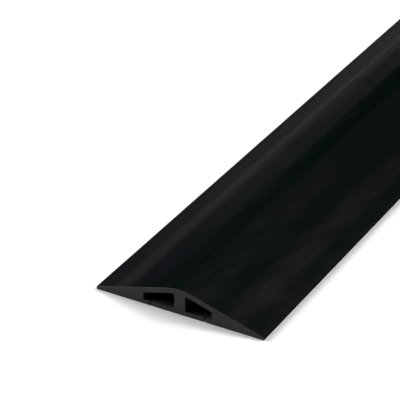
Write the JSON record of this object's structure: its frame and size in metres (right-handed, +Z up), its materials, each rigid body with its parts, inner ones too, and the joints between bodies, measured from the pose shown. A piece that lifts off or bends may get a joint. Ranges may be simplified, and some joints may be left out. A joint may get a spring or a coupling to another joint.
{
  "type": "floor cord cover",
  "caption": "Low ramped strip of flexible black extrusion that lies on a floor and shelters cords, which are pressed into its slit channels from below.",
  "frame": {"origin": "middle of the underside, on the floor, half way along the strip", "axes": "+Y along the length, +X across the width, +Z up out of the floor"},
  "size_m": [0.0636, 1.524, 0.0096],
  "materials": {
    "flexible_pvc": "satin near-black, with matte saw-cut ends"
  },
  "bodies": {
    "root": {"cover_strip": "flexible_pvc"}
  },
  "joints": []
}
